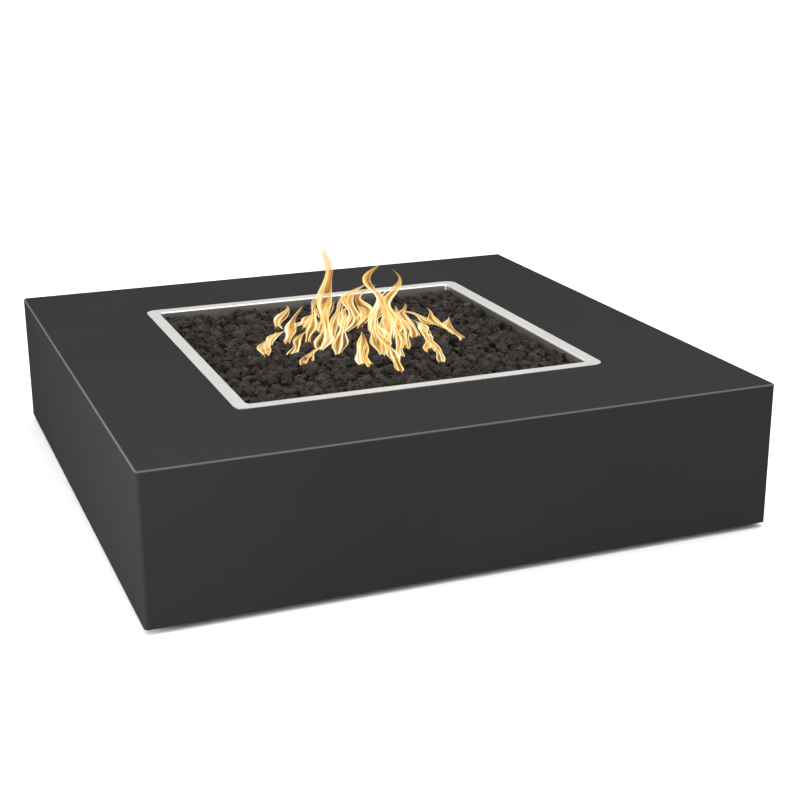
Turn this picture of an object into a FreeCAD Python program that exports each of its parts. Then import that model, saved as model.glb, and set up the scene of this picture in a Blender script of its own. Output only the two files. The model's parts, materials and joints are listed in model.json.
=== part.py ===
import FreeCAD, Part
import math
import operator
import os
import Sketcher
from FreeCAD import Placement, Rotation, Vector

# A low square gas fire pit: a folded steel shell with a drop-in stainless pan, a bed of
# lava rock over a double ring burner, and a key valve, gas hose and service door at the back.
# The frame: origin at the middle of the footprint on the floor, +Z up, front towards -Y.

document = FreeCAD.newDocument("fire_pit")
sheet = document.addObject("Spreadsheet::Sheet", "Sizes")
SIGNS = {"+": operator.add, "-": operator.sub, "*": operator.mul, "/": operator.truediv}
ROUND_ABOUT = 360
QUARTER = 90
HEXAGON_SIDES = 6
LOUVRES = 4
OUTER_PORTS = 24
INNER_PORTS = 12
# share of the shorter run that an arc of the hose takes up
ARC_SHARE = 0.45


class Size:
    """A length that carries both its number and the sheet expression that gives it."""

    def __init__(self, number, text):
        self.number = float(number)
        self.text = text

    def __float__(self):
        return self.number

    def __neg__(self):
        return joined(-1, "*", self)

    def __add__(self, other):
        return joined(self, "+", other)

    def __radd__(self, other):
        return joined(other, "+", self)

    def __sub__(self, other):
        return joined(self, "-", other)

    def __rsub__(self, other):
        return joined(other, "-", self)

    def __mul__(self, other):
        return joined(self, "*", other)

    def __rmul__(self, other):
        return joined(other, "*", self)

    def __truediv__(self, other):
        return joined(self, "/", other)


def as_size(value):
    return value if isinstance(value, Size) else Size(value, repr(value))


def joined(left, sign, right):
    left = as_size(left)
    right = as_size(right)
    number = SIGNS[sign](left.number, right.number)
    return Size(number, "(%s %s %s)" % (left.text, sign, right.text))


cells = []


def cell(name, number, note):
    """One driving dimension: a row of the sheet with the name, the number and a note."""
    cells.append(name)
    row = len(cells)
    sheet.set("A%d" % row, name)
    sheet.set("B%d" % row, str(number))
    sheet.set("C%d" % row, note)
    sheet.setAlias("B%d" % row, name)
    return Size(number, "Sizes." + name)


# ---------------------------------------------------------------- driving dimensions

# Shell
body_length = cell("body_length", 1321, "shell outside, left to right")
body_depth = cell("body_depth", 1321, "shell outside, front to back")
body_height = cell("body_height", 305, "shell, bottom return to top face")
foot_gap = cell("foot_gap", 12, "shell's bottom above the floor")
shell_sheet = cell("shell_sheet", 3, "steel sheet of the shell")
corner_bend = cell("corner_bend", 8, "outside radius of the upright corners")
top_bend = cell("top_bend", 4, "outside radius of the top edges")
return_width = cell("return_width", 30, "bottom flange turned inwards")
lip_depth = cell("lip_depth", 20, "turned-down lip round the pan opening")
lip_bend = cell("lip_bend", 3, "outside radius of the lip's fold")

# Pan
pan_span = cell("pan_span", 813, "pan over its flange, both ways")
pan_flange = cell("pan_flange", 30, "flange width, edge to wall")
pan_sheet = cell("pan_sheet", 2, "stainless sheet of the pan")
pan_depth = cell("pan_depth", 76, "flange's top to the floor's underside")
pan_corner = cell("pan_corner", 25, "flange's outer corners")
pan_wall_corner = cell("pan_wall_corner", 12, "wall's outside corners")
pan_floor_bend = cell("pan_floor_bend", 8, "outside fold between wall and floor")
rim_bend = cell("rim_bend", 4, "inside fold between flange and wall")
opening_gap = cell("opening_gap", 5, "pan wall to the shell's lip")
drain_radius = cell("drain_radius", 4, "rain drain holes in the pan floor")
drain_inset = cell("drain_inset", 70, "drain holes in from the pan wall")

# Lava rock
rock_depth = cell("rock_depth", 54, "bed's depth at the pan walls")
rock_crown = cell("rock_crown", 8, "bed's rise to its middle")
rock_crown_span = cell("rock_crown_span", 440, "flat top of the crown")
rock_gap = cell("rock_gap", 1, "bed to the pan walls")
rock_chamfer = cell("rock_chamfer", 7, "bed's lower edge, over the pan's fold")
rock_burner_gap = cell("rock_burner_gap", 1.5, "bed to the burner")

# Burner and the gas fittings under it
ring_outer = cell("ring_outer", 229, "outer ring, centre line radius")
ring_inner = cell("ring_inner", 127, "inner ring, centre line radius")
tube_radius = cell("tube_radius", 9.5, "burner ring tube outside")
cross_radius = cell("cross_radius", 8, "burner cross tubes outside")
tube_wall = cell("tube_wall", 1.5, "burner tube wall")
port_radius = cell("port_radius", 1.6, "gas ports on top of the rings")
hub_radius = cell("hub_radius", 24, "burner hub")
hub_height = cell("hub_height", 34, "burner hub")
burner_rise = cell("burner_rise", 22, "ring centre above the hub's foot")
thread_gap = cell("thread_gap", 0.1, "between a thread and its nut")
thread_depth = cell("thread_depth", 15, "pipe thread engagement")
slide_gap = cell("slide_gap", 0.3, "between pieces that move apart")
fit_gap = cell("fit_gap", 0.06, "running fit, on the radius")
nipple_radius = cell("nipple_radius", 10.65, "half-inch pipe outside")
nipple_bore = cell("nipple_bore", 7.8, "half-inch pipe inside")
nipple_drop = cell("nipple_drop", 28, "nipple below the pan floor")
washer_radius = cell("washer_radius", 20, "washer under the hub")
washer_sheet = cell("washer_sheet", 2, "washer under the hub")
locknut_flats = cell("locknut_flats", 32, "locknut across flats")
locknut_height = cell("locknut_height", 8, "locknut under the pan floor")
fitting_flats = cell("fitting_flats", 30, "flare fitting across flats")
fitting_height = cell("fitting_height", 25, "flare fitting, hexagon part")
flare_radius = cell("flare_radius", 7.9, "male flare thread")
flare_length = cell("flare_length", 18, "male flare thread")
flare_bore = cell("flare_bore", 4.5, "gas way in the flare fittings")
flare_lead = cell("flare_lead", 2, "chamfer at the flare's mouth, and room beyond it")
outlet_flats = cell("outlet_flats", 26, "valve's flare fitting across flats")
thread_end = cell("thread_end", 1, "a thread's end short of the bottom of its hole")
root_overlap = cell("root_overlap", 1, "joined shapes reach into each other")

# Gas hose
hose_radius = cell("hose_radius", 7.5, "hose outside")
hose_nut_flats = cell("hose_nut_flats", 22, "hose nut across flats")
hose_nut_length = cell("hose_nut_length", 28, "hose nut")
hose_nut_stand = cell("hose_nut_stand", 5, "hose nut short of the fitting's hexagon")

# Key valve
valve_place = cell("valve_place", 300, "valve to the right of the middle")
valve_level = cell("valve_level", 150, "valve stem above the floor")
valve_stand = cell("valve_stand", 44, "valve's middle in front of the back wall")
valve_radius = cell("valve_radius", 18, "valve body outside")
valve_wall = cell("valve_wall", 4, "valve body's closed end")
plug_radius = cell("plug_radius", 12, "valve plug")
plug_half = cell("plug_half", 18, "valve chamber, middle to open end")
gas_way = cell("gas_way", 6, "gas way in the valve and plug")
boss_radius = cell("boss_radius", 15, "valve's inlet and outlet bosses")
boss_reach = cell("boss_reach", 42, "valve axis to the end of a boss")
inlet_radius = cell("inlet_radius", 9.3, "pipe thread in the bosses")
bonnet_flats = cell("bonnet_flats", 36, "valve bonnet across flats")
bonnet_height = cell("bonnet_height", 8, "valve bonnet, hexagon part")
neck_radius = cell("neck_radius", 10.5, "bonnet's threaded neck")
neck_bore = cell("neck_bore", 6.8, "key's way in the neck")
neck_proud = cell("neck_proud", 5, "neck outside the back wall")
neck_hole_gap = cell("neck_hole_gap", 0.5, "neck in the wall's hole")
neck_nut_flats = cell("neck_nut_flats", 30, "neck nut across flats")
stem_radius = cell("stem_radius", 5.4, "valve stem")
stem_length = cell("stem_length", 10, "valve stem, round part")
stem_square = cell("stem_square", 7, "valve stem's square end")
square_length = cell("square_length", 16, "valve stem's square end")
seal_radius = cell("seal_radius", 0.5, "stem seal's section")
plate_radius = cell("plate_radius", 28, "cover plate round the key hole")
plate_depth = cell("plate_depth", 4, "cover plate round the key hole")
key_radius = cell("key_radius", 6.4, "valve key's shaft")
key_length = cell("key_length", 76, "valve key's shaft")
key_handle = cell("key_handle", 60, "valve key's cross bar")
key_bar_radius = cell("key_bar_radius", 4, "valve key's cross bar")

# Service door, hinges, knob and catch
doorway_width = cell("doorway_width", 306, "door opening")
doorway_height = cell("doorway_height", 196, "door opening")
doorway_sill = cell("doorway_sill", 48, "door opening above the shell's bottom")
door_gap = cell("door_gap", 3, "door to its opening")
door_sheet = cell("door_sheet", 2, "door sheet")
door_depth = cell("door_depth", 12, "door's folded edges")
door_lip = cell("door_lip", 15, "door's folded edges turned in")
leaf_height = cell("leaf_height", 40, "hinge leaf")
leaf_width = cell("leaf_width", 28, "hinge leaf, pin to edge")
leaf_sheet = cell("leaf_sheet", 1.5, "hinge leaf")
leaf_inset = cell("leaf_inset", 15, "hinge from the door's top and bottom")
barrel_radius = cell("barrel_radius", 4, "hinge barrel")
barrel_stand = cell("barrel_stand", 4.5, "hinge axis outside the back wall")
knuckle_gap = cell("knuckle_gap", 0.3, "between hinge knuckles")
pin_radius = cell("pin_radius", 2.5, "hinge pin")
pin_head = cell("pin_head", 1.5, "hinge pin's head")
rivet_radius = cell("rivet_radius", 1.6, "rivet shank")
rivet_head = cell("rivet_head", 3.2, "rivet head")
rivet_proud = cell("rivet_proud", 1.2, "rivet head")
rivet_reach = cell("rivet_reach", 18, "rivets from the hinge axis")
rivet_spread = cell("rivet_spread", 24, "between the two rivets of a leaf")
knob_radius = cell("knob_radius", 13, "door knob's head")
knob_neck = cell("knob_neck", 6, "door knob's neck")
knob_depth = cell("knob_depth", 24, "door knob")
knob_inset = cell("knob_inset", 27, "knob from the door's free edge")
knob_base = cell("knob_base", 8.45, "door knob's base")
screw_radius = cell("screw_radius", 2, "small screws")
screw_head = cell("screw_head", 3.8, "small screws' heads")
screw_proud = cell("screw_proud", 2, "small screws' heads")
screw_past = cell("screw_past", 4, "vent screws past the sheet")
strike_sheet = cell("strike_sheet", 1.2, "strike plate")
strike_width = cell("strike_width", 18, "strike plate and catch")
catch_height = cell("catch_height", 46, "strike plate, catch and bracket")
catch_depth = cell("catch_depth", 14, "catch block")
bracket_sheet = cell("bracket_sheet", 2, "catch bracket")
bracket_stand = cell("bracket_stand", 7, "bracket's web outside the opening")
bracket_leg = cell("bracket_leg", 25, "bracket's leg on the wall")
catch_screw_spread = cell("catch_screw_spread", 26, "between the catch's screws")

# Vents
vent_width = cell("vent_width", 190, "vent opening")
vent_height = cell("vent_height", 60, "vent opening")
vent_level = cell("vent_level", 165, "vent's middle above the floor")
vent_back_place = cell("vent_back_place", 380, "back vent to the left of the middle")
vent_side_place = cell("vent_side_place", 300, "side vent behind the middle")
vent_border = cell("vent_border", 15, "cover beyond the opening")
vent_sheet = cell("vent_sheet", 1.5, "vent cover")
louvre_length = cell("louvre_length", 160, "louvre slots")
louvre_slot = cell("louvre_slot", 5, "louvre slots")
louvre_pitch = cell("louvre_pitch", 14, "between louvres")
louvre_reach = cell("louvre_reach", 6, "louvre hoods' reach")
vent_screw_inset = cell("vent_screw_inset", 7, "screws from the cover's edges")

# Feet
foot_inset = cell("foot_inset", 55, "foot from the shell's faces")
foot_plate = cell("foot_plate", 90, "corner plate, both ways")
foot_plate_sheet = cell("foot_plate_sheet", 5, "corner plate")
foot_plate_corner = cell("foot_plate_corner", 6, "corner plate's corners")
stud_radius = cell("stud_radius", 5, "levelling stud")
stud_top = cell("stud_top", 50, "levelling stud's top above the floor")
stud_collar = cell("stud_collar", 3.5, "levelling stud's hexagon collar")
foot_nut_flats = cell("foot_nut_flats", 17, "weld nut and collar across flats")
foot_nut_height = cell("foot_nut_height", 8, "weld nut")
pad_radius = cell("pad_radius", 22, "foot pad")
pad_height = cell("pad_height", 8, "foot pad")
pad_floor = cell("pad_floor", 3, "foot pad under the stud")
document.recompute()

# ---------------------------------------------------------------- worked-out places

shell_top = foot_gap + body_height
wall_out = body_depth / 2
wall_in = body_depth / 2 - shell_sheet
side_out = body_length / 2
pan_inside = pan_span - 2 * pan_flange
pan_outside = pan_inside + 2 * pan_sheet
opening = pan_outside + 2 * opening_gap
pan_top = shell_top + pan_sheet
pan_under = pan_top - pan_depth
pan_floor = pan_under + pan_sheet
hub_foot = pan_floor + washer_sheet
ring_level = hub_foot + burner_rise
nipple_low = pan_under - nipple_drop
fitting_top = nipple_low + thread_depth
fitting_low = fitting_top - fitting_height
valve_middle = wall_in - valve_stand
bonnet_foot = valve_middle + plug_half
plug_front = bonnet_foot - slide_gap
stem_shoulder = plug_front + stem_length
key_tip = stem_shoulder + slide_gap
door_width = doorway_width - 2 * door_gap
door_height = doorway_height - 2 * door_gap
door_low = foot_gap + doorway_sill + door_gap
door_middle = door_low + door_height / 2
hinge_x = doorway_width / 2 - door_gap / 2
hinge_y = wall_out + barrel_stand
hinge_levels = {"lower": door_low + leaf_inset, "upper": door_low + door_height - leaf_inset - leaf_height}
free_edge = -door_width / 2
strike_face = wall_out - door_depth - strike_sheet
catch_back = strike_face - slide_gap - catch_depth
corners = {"front_left": (-1, -1), "front_right": (1, -1), "back_left": (-1, 1), "back_right": (1, 1)}

# ---------------------------------------------------------------- ways of making a shape

TURNS = {
    "x": Rotation(Vector(0, 1, 0), QUARTER),
    "-x": Rotation(Vector(0, 1, 0), -QUARTER),
    "y": Rotation(Vector(1, 0, 0), -QUARTER),
    "-y": Rotation(Vector(1, 0, 0), QUARTER),
    "z": Rotation(),
    "-z": Rotation(Vector(1, 0, 0), 2 * QUARTER),
}
sub_parts = []


def sub_part(thing, label):
    """Name a finished piece and put it on the list that is written out."""
    thing.Label = label
    sub_parts.append(thing)
    return thing


def bind(thing, **sizes):
    for name, size in sizes.items():
        thing.setExpression(name, as_size(size).text)


def place(thing, at, turn=Rotation()):
    thing.Placement = Placement(Vector(*[float(size) for size in at]), turn)
    for letter, size in zip("xyz", at):
        thing.setExpression("Placement.Base." + letter, as_size(size).text)
    return thing


def box(name, low, high):
    thing = document.addObject("Part::Box", name)
    bind(thing, Length=high[0] - low[0], Width=high[1] - low[1], Height=high[2] - low[2])
    return place(thing, low)


def cylinder(name, radius, length, foot, along="z"):
    thing = document.addObject("Part::Cylinder", name)
    bind(thing, Radius=radius, Height=length)
    return place(thing, foot, TURNS[along])


def hexagon(name, flats, length, foot, along="z"):
    thing = document.addObject("Part::Prism", name)
    thing.Polygon = HEXAGON_SIDES
    bind(thing, Circumradius=flats / math.sqrt(3), Height=length)
    return place(thing, foot, TURNS[along])


def torus(name, ring_radius, section_radius, at):
    thing = document.addObject("Part::Torus", name)
    bind(thing, Radius1=ring_radius, Radius2=section_radius)
    return place(thing, at)


def fused(name, *pieces):
    thing = document.addObject("Part::MultiFuse", name)
    thing.Shapes = list(pieces)
    return thing


def grouped(name, pieces):
    thing = document.addObject("Part::Compound", name)
    thing.Links = list(pieces)
    return thing


def cut(name, base, *tools):
    """The base with every tool taken away."""
    thing = document.addObject("Part::Cut", name)
    thing.Base = base
    thing.Tool = tools[0] if len(tools) == 1 else grouped(name + "_tools", tools)
    return thing


def square(half_x, half_y):
    return [(-half_x, -half_y), (half_x, -half_y), (half_x, half_y), (-half_x, half_y)]


def rectangle(left, low, right, high):
    return [(left, low), (right, low), (right, high), (left, high)]


def tie(drawing, kind, size, *where):
    number = drawing.addConstraint(Sketcher.Constraint(kind, *where, float(size)))
    drawing.setExpression("Constraints[%d]" % number, as_size(size).text)


def sketch(body, name, role, loops=(), circles=(), lift=0):
    """Closed outlines and circles on a plane of the body, every point tied to the sheet."""
    drawing = body.newObject("Sketcher::SketchObject", name)
    flat = next(item for item in body.Origin.OriginFeatures if item.Role == role)
    drawing.AttachmentSupport = (flat, [""])
    drawing.MapMode = "FlatFace"
    drawing.setExpression("AttachmentOffset.Base.z", as_size(lift).text)
    for loop in loops:
        points = [Vector(float(across), float(up), 0) for across, up in loop]
        first = drawing.GeometryCount
        count = len(points)
        for index in range(count):
            line = Part.LineSegment(points[index], points[(index + 1) % count])
            drawing.addGeometry(line, False)
        for index in range(count):
            nearest = first + (index + 1) % count
            drawing.addConstraint(Sketcher.Constraint("Coincident", first + index, 2, nearest, 1))
        for index, (across, up) in enumerate(loop):
            tie(drawing, "DistanceX", across, -1, 1, first + index, 1)
            tie(drawing, "DistanceY", up, -1, 1, first + index, 1)
    for across, up, radius in circles:
        index = drawing.GeometryCount
        middle = Vector(float(across), float(up), 0)
        drawing.addGeometry(Part.Circle(middle, Vector(0, 0, 1), float(radius)), False)
        tie(drawing, "DistanceX", across, -1, 1, index, 3)
        tie(drawing, "DistanceY", up, -1, 1, index, 3)
        tie(drawing, "Radius", radius, index)
    return drawing


def pad(body, name, drawing, length):
    feature = body.newObject("PartDesign::Pad", name)
    feature.Profile = drawing
    bind(feature, Length=length)
    return feature


def pocket(body, name, drawing, length, reverse=True):
    feature = body.newObject("PartDesign::Pocket", name)
    feature.Profile = drawing
    feature.Reversed = reverse
    bind(feature, Length=length)
    return feature


def rounded(body, name, radius, chosen, kind="PartDesign::Fillet"):
    """Round (or chamfer) those edges of the body that the test picks by their middle and direction."""
    document.recompute()
    base = body.Tip
    picked = []
    for number, edge in enumerate(base.Shape.Edges, 1):
        if edge.Curve.TypeId != "Part::GeomLine":
            continue
        middle = edge.valueAt((edge.FirstParameter + edge.LastParameter) / 2)
        along = edge.tangentAt(edge.FirstParameter)
        if chosen(middle, along):
            picked.append("Edge%d" % number)
    feature = body.newObject(kind, name)
    feature.Base = (base, picked)
    bind(feature, **{"Size" if kind.endswith("Chamfer") else "Radius": radius})
    return feature


def upright_at(half_x, half_y):
    """Upright edges at the four corners of a rectangle about the middle."""
    def chosen(middle, along):
        off_x = abs(abs(middle.x) - float(half_x))
        off_y = abs(abs(middle.y) - float(half_y))
        return abs(along.z) > 0.99 and max(off_x, off_y) < 0.01
    return chosen


def level_at(height, within=None):
    """Edges that lie flat at a height, and inside a half-span when one is given."""
    def chosen(middle, along):
        reach = max(abs(middle.x), abs(middle.y))
        inside = within is None or reach < float(within)
        return inside and abs(along.z) < 0.01 and abs(middle.z - float(height)) < 0.01
    return chosen


def new_body(name):
    return document.addObject("PartDesign::Body", name)


def turned(name, profile, foot, along="z"):
    """A turned piece: points of radius and height about the upright axis, then laid along one."""
    body = new_body(name)
    feature = body.newObject("PartDesign::Revolution", name + "_turning")
    feature.Profile = sketch(body, name + "_profile", "XZ_Plane", [profile])
    feature.ReferenceAxis = (feature.Profile[0], ["V_Axis"])
    feature.Angle = ROUND_ABOUT
    return place(body, foot, TURNS[along])


# ---------------------------------------------------------------- shell and its corner plates


def hinge_rivet_spots():
    for level in hinge_levels.values():
        for side in (-1, 1):
            yield level + leaf_height / 2 + side * rivet_spread / 2


def vent_screw_spots():
    """Screws of a vent cover, from the cover's middle."""
    half_x = vent_width / 2 + vent_border - vent_screw_inset
    half_z = vent_height / 2 + vent_border - vent_screw_inset
    return [(side * half_x, end * half_z) for side in (-1, 1) for end in (-1, 1)]


def make_shell():
    body = new_body("shell_form")
    half_x = body_length / 2
    half_y = body_depth / 2
    pad(body, "shell_block", sketch(body, "shell_plan", "XY_Plane", [square(half_x, half_y)]), body_height)
    rounded(body, "shell_corners", corner_bend, upright_at(half_x, half_y))
    rounded(body, "shell_top_edges", top_bend, level_at(body_height))
    inner_x = half_x - shell_sheet
    inner_y = half_y - shell_sheet
    inner = square(inner_x, inner_y)
    pocket(body, "shell_hollow", sketch(body, "hollow_plan", "XY_Plane", [inner]), body_height - shell_sheet)
    rounded(body, "hollow_corners", corner_bend - shell_sheet, upright_at(inner_x, inner_y))
    ring = [inner, square(inner_x - return_width, inner_y - return_width)]
    pad(body, "bottom_return", sketch(body, "return_plan", "XY_Plane", ring), shell_sheet)
    lip_half = opening / 2 + shell_sheet
    lip = [square(lip_half, lip_half), square(opening / 2, opening / 2)]
    lip_low = body_height - lip_depth
    pad(body, "opening_lip", sketch(body, "lip_plan", "XY_Plane", lip, lift=lip_low), lip_depth - shell_sheet)
    hole = sketch(body, "opening_plan", "XY_Plane", [square(opening / 2, opening / 2)], lift=lip_low)
    pocket(body, "pan_opening", hole, lip_depth)
    rounded(body, "lip_fold", lip_bend, level_at(body_height, within=lip_half))
    place(body, (0, 0, foot_gap))

    through = 4 * shell_sheet
    back = wall_out - 2 * shell_sheet
    doorway = box("doorway", (-doorway_width / 2, back, foot_gap + doorway_sill),
                  (doorway_width / 2, back + through, foot_gap + doorway_sill + doorway_height))
    neck_hole = cylinder("neck_hole", neck_radius + neck_hole_gap, through,
                         (valve_place, back, valve_level), "y")
    back_vent = box("back_vent", (-vent_back_place - vent_width / 2, back, vent_level - vent_height / 2),
                    (-vent_back_place + vent_width / 2, back + through, vent_level + vent_height / 2))
    side = side_out - 2 * shell_sheet
    side_vent = box("side_vent", (side, vent_side_place - vent_width / 2, vent_level - vent_height / 2),
                    (side + through, vent_side_place + vent_width / 2, vent_level + vent_height / 2))
    holes = [doorway, neck_hole, back_vent, side_vent]
    for level in hinge_rivet_spots():
        holes.append(cylinder("shell_rivet_hole", rivet_radius + thread_gap, through,
                              (hinge_x + rivet_reach, back, level), "y"))
    for across, up in vent_screw_spots():
        holes.append(cylinder("back_vent_screw_hole", screw_radius + thread_gap, through,
                              (-vent_back_place + across, back, vent_level + up), "y"))
        holes.append(cylinder("side_vent_screw_hole", screw_radius + thread_gap, through,
                              (side, vent_side_place + across, vent_level + up), "x"))
    sub_part(cut("shell", body, *holes), "fire_pit_shell")


def foot_spot(side_x, side_y):
    return side_x * (body_length / 2 - foot_inset), side_y * (body_depth / 2 - foot_inset)


def make_foot_plates():
    plate_low = foot_gap + shell_sheet
    nuts = []
    for corner, (side_x, side_y) in corners.items():
        foot_x, foot_y = foot_spot(side_x, side_y)
        middle_x = side_x * (body_length / 2 - shell_sheet - foot_plate / 2)
        middle_y = side_y * (wall_in - foot_plate / 2)
        body = new_body("foot_plate_" + corner)
        hole = (foot_x - middle_x, foot_y - middle_y, stud_radius + slide_gap)
        slab = square(foot_plate / 2, foot_plate / 2)
        plan = sketch(body, "foot_plan_" + corner, "XY_Plane", [slab], [hole])
        pad(body, "foot_slab_" + corner, plan, foot_plate_sheet)
        rounded(body, "foot_corners_" + corner, foot_plate_corner, upright_at(foot_plate / 2, foot_plate / 2))
        sub_part(place(body, (middle_x, middle_y, plate_low)), "foot_bracket_" + corner)
        nut_foot = (foot_x, foot_y, plate_low + foot_plate_sheet)
        blank = hexagon("weld_nut_blank_" + corner, foot_nut_flats, foot_nut_height, nut_foot)
        bore = cylinder("weld_nut_bore_" + corner, stud_radius + slide_gap, foot_nut_height, nut_foot)
        nuts.append(cut("weld_nut_" + corner, blank, bore))
    sub_part(grouped("weld_nuts", nuts), "foot_weld_nuts")


def make_feet():
    for corner, (side_x, side_y) in corners.items():
        foot_x, foot_y = foot_spot(side_x, side_y)
        edge = pad_height / 4
        pad_profile = [
            (0, 0), (pad_radius, 0), (pad_radius, pad_height / 2), (pad_radius - edge, pad_height - edge),
            (stud_radius * 2, pad_height), (stud_radius + thread_gap, pad_height),
            (stud_radius + thread_gap, pad_floor), (0, pad_floor),
        ]
        sub_part(turned("pad_" + corner, pad_profile, (foot_x, foot_y, 0)), "levelling_pad_" + corner)
        rod = cylinder("rod_" + corner, stud_radius, stud_top - pad_floor, (foot_x, foot_y, pad_floor))
        collar = hexagon("collar_" + corner, foot_nut_flats, stud_collar, (foot_x, foot_y, pad_height))
        sub_part(fused("stud_" + corner, rod, collar), "levelling_stud_" + corner)


# ---------------------------------------------------------------- service door


def make_door():
    half_x = door_width / 2
    half_z = door_height / 2
    back = wall_out - door_depth
    skin = wall_out - door_sheet
    outer = box("door_block", (-half_x, back, door_middle - half_z), (half_x, wall_out, door_middle + half_z))
    wide_x = half_x - door_sheet
    wide_z = half_z - door_sheet
    hollow = box("door_hollow", (-wide_x, back + door_sheet, door_middle - wide_z),
                 (wide_x, skin, door_middle + wide_z))
    mouth = box("door_mouth", (-half_x + door_lip, back, door_middle - half_z + door_lip),
                (half_x - door_lip, back + door_sheet, door_middle + half_z - door_lip))
    through = 2 * door_sheet
    holes = [cylinder("door_screw_hole", screw_radius + thread_gap, through,
                      (free_edge + knob_inset, skin - door_sheet / 2, door_middle), "y")]
    for level in hinge_rivet_spots():
        holes.append(cylinder("door_rivet_hole", rivet_radius + thread_gap, through,
                              (hinge_x - rivet_reach, skin - door_sheet / 2, level), "y"))
    sub_part(cut("door", outer, hollow, mouth, *holes), "access_door")


def hinge_leaf(name, level, side, knuckles):
    """One leaf: a plate on the outer face, with its share of the barrel's knuckles."""
    root = barrel_radius + root_overlap
    near = hinge_x + side * root
    far = hinge_x + side * leaf_width
    left, right = (near, far) if side > 0 else (far, near)
    face = wall_out + leaf_sheet
    pieces = [box(name + "_plate", (left, wall_out, level), (right, face, level + leaf_height))]
    left, right = (hinge_x, near) if side > 0 else (near, hinge_x)
    for index, (low, high) in enumerate(knuckles):
        tag = "%s_knuckle_%d" % (name, index)
        pieces.append(box(tag + "_root", (left, wall_out, level + low), (right, face, level + high)))
        pieces.append(cylinder(tag, barrel_radius, high - low, (hinge_x, hinge_y, level + low)))
    holes = [cylinder(name + "_bore", pin_radius + fit_gap, leaf_height, (hinge_x, hinge_y, level))]
    for end in (-1, 1):
        spot = (hinge_x + side * rivet_reach, wall_out, level + leaf_height / 2 + end * rivet_spread / 2)
        tag = "%s_rivet_hole_%d" % (name, end + 1)
        holes.append(cylinder(tag, rivet_radius + thread_gap, leaf_sheet, spot, "y"))
    return cut(name, fused(name + "_form", *pieces), *holes)


def make_hinges():
    third = leaf_height / 3
    half_gap = knuckle_gap / 2
    frame_knuckles = [(0 * third, third - half_gap), (2 * third + half_gap, leaf_height)]
    door_knuckles = [(third + half_gap, 2 * third - half_gap)]
    for where, level in hinge_levels.items():
        sub_part(hinge_leaf("frame_leaf_" + where, level, 1, frame_knuckles), "hinge_frame_leaf_" + where)
        sub_part(hinge_leaf("door_leaf_" + where, level, -1, door_knuckles), "hinge_door_leaf_" + where)
        tall = leaf_height + pin_head
        profile = [(0, -pin_head), (pin_radius, -pin_head), (pin_radius, leaf_height),
                   (barrel_radius, leaf_height), (barrel_radius, tall), (0, tall)]
        sub_part(turned("hinge_pin_form_" + where, profile, (hinge_x, hinge_y, level)), "hinge_pin_" + where)


def rivet(name, sheet_stack, at):
    """A closed rivet through the hinge leaf and the sheet under it, heads on both faces."""
    inner = rivet_head * 0.8
    crown = rivet_head * 0.6
    profile = [
        (0, -rivet_proud), (inner, -rivet_proud), (inner, 0), (rivet_radius, 0),
        (rivet_radius, sheet_stack), (rivet_head, sheet_stack),
        (crown, sheet_stack + rivet_proud), (0, sheet_stack + rivet_proud),
    ]
    return turned(name, profile, at, "y")


def make_hinge_rivets():
    for group, side, sheet_under in (("frame", 1, shell_sheet), ("door", -1, door_sheet)):
        rivets = []
        for level in hinge_rivet_spots():
            spot = (hinge_x + side * rivet_reach, wall_out - sheet_under, level)
            rivets.append(rivet("%s_rivet_%d" % (group, len(rivets)), sheet_under + leaf_sheet, spot))
        sub_part(grouped(group + "_rivets", rivets), "hinge_%s_rivets" % group)


def screw(name, shank, at, along):
    """A small pan-head screw whose head stands on the spot and whose shank runs along the axis."""
    profile = [
        (0, -screw_proud), (screw_head * 0.7, -screw_proud), (screw_head, -screw_proud / 2),
        (screw_head, 0), (screw_radius, 0), (screw_radius, shank), (0, shank),
    ]
    return turned(name, profile, at, along)


def make_knob():
    bore = screw_radius + thread_gap
    bore_depth = knob_depth / 2
    profile = [
        (bore, 0), (knob_base, 0), (knob_base, knob_depth * 0.1), (knob_neck, knob_depth * 0.2),
        (knob_neck, knob_depth * 0.5), (knob_radius, knob_depth * 0.7), (knob_radius, knob_depth * 0.9),
        (knob_radius * 0.85, knob_depth), (0, knob_depth), (0, bore_depth), (bore, bore_depth),
    ]
    spot_x = free_edge + knob_inset
    sub_part(turned("knob", profile, (spot_x, wall_out, door_middle), "y"), "door_knob")
    shank = door_sheet + bore_depth - thread_end
    sub_part(screw("knob_screw", shank, (spot_x, wall_out - door_sheet, door_middle), "y"), "door_knob_screw")


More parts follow.
